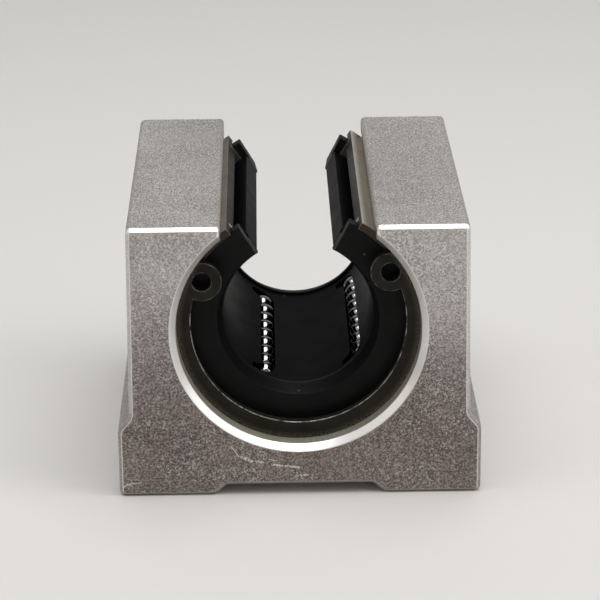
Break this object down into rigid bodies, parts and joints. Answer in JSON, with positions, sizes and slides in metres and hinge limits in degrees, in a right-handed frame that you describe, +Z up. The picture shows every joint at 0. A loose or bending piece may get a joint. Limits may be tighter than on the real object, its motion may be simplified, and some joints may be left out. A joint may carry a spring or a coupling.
{
  "type": "open linear bearing block",
  "caption": "Open linear bearing block: an aluminium housing holds a slotted ball bearing, which runs along a round shaft that is carried from below on a rail.",
  "frame": {"origin": "centre of the mounting face, on the surface that the block stands on", "axes": "+Z up out of the slot, +Y along the shaft, +X across the block"},
  "size_m": [0.048, 0.05, 0.0375],
  "materials": {
    "housing": "sandblasted",
    "set_screw": "black oxide",
    "sleeve": "ground",
    "cage": "moulded, glossy",
    "stop_ring": "plain",
    "seal": "moulded, satin",
    "circlip": "phosphated",
    "balls": "polished"
  },
  "bodies": {
    "root": {"housing": "housing", "set_screw": "set_screw", "outer_sleeve": "sleeve", "ball_cage": "cage", "front_stop_ring": "stop_ring", "rear_stop_ring": "stop_ring", "front_seal": "seal", "rear_seal": "seal", "front_circlip": "circlip", "rear_circlip": "circlip", "loaded_balls_1": "balls", "return_balls_1": "balls", "loaded_balls_2": "balls", "return_balls_2": "balls", "loaded_balls_3": "balls", "return_balls_3": "balls", "loaded_balls_4": "balls", "return_balls_4": "balls"}
  },
  "joints": []
}
